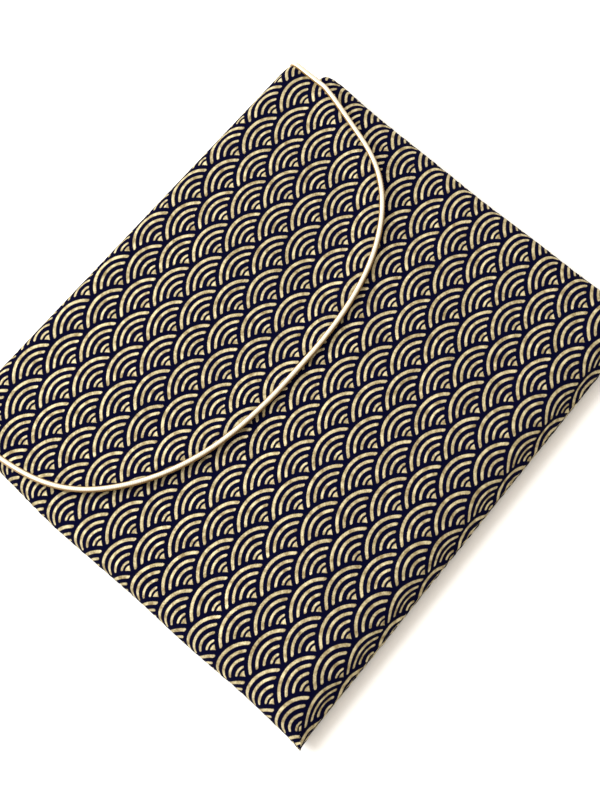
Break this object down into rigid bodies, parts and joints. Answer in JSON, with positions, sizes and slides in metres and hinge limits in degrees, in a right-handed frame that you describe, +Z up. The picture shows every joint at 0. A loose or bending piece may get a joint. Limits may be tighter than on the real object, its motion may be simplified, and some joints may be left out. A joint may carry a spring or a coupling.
{
  "type": "laptop sleeve",
  "caption": "Padded cloth laptop sleeve: a pocket open at one end under a rounded, piped flap that folds over it and is held by a hidden magnetic snap.",
  "frame": {"origin": "under the middle of the sleeve, on the surface that its back lies on, with the flap closed", "axes": "+X along the fold and the pocket's mouth, +Y from the bottom seam to the fold, +Z up from the back through the front and the flap"},
  "size_m": [0.33, 0.2874, 0.0247],
  "materials": {
    "printed_cotton": "plain-weave navy cotton with a metallic gold wave print",
    "lining_cotton": "plain-weave sand cotton",
    "fleece": "needled fleece",
    "piping_satin": "pale gold satin with a metallic thread",
    "piping_cord": "twisted cotton",
    "thread": "polyester sewing thread",
    "snap_metal": "nickel plate",
    "magnet": "bare ring magnet",
    "stabiliser": "non-woven interfacing"
  },
  "bodies": {
    "pocket": {"front_outer_panel": "printed_cotton", "front_padding": "fleece", "front_lining": "lining_cotton", "back_outer_panel": "printed_cotton", "back_padding": "fleece", "back_lining": "lining_cotton", "mouth_stitching": "thread", "snap_socket_case": "snap_metal", "snap_magnet": "magnet", "snap_socket_washer": "snap_metal", "front_snap_patch": "stabiliser"},
    "spine": {"spine_outer": "printed_cotton", "spine_padding": "fleece", "spine_lining": "lining_cotton", "spine_piping_cover": "piping_satin", "spine_piping_cord": "piping_cord"},
    "flap": {"flap_outer": "printed_cotton", "flap_padding": "fleece", "flap_lining": "lining_cotton", "flap_piping_cover": "piping_satin", "flap_piping_cord": "piping_cord", "snap_stud_plate": "snap_metal", "snap_stud_washer": "snap_metal", "flap_snap_patch": "stabiliser"}
  },
  "joints": [
    {"name": "spine_fold", "type": "hinge", "parent": "pocket", "child": "spine", "pos_m": [0, 0.14375, 0], "axis": [-1, 0, 0], "range_deg": [0, 90]},
    {"name": "flap_fold", "type": "hinge", "parent": "spine", "child": "flap", "pos_m": [0, 0.14375, 0.0247], "axis": [-1, 0, 0], "range_deg": [0, 90]}
  ],
  "couplings": [
    {"joint": "flap_fold", "follows": "spine_fold", "ratio": 1}
  ]
}
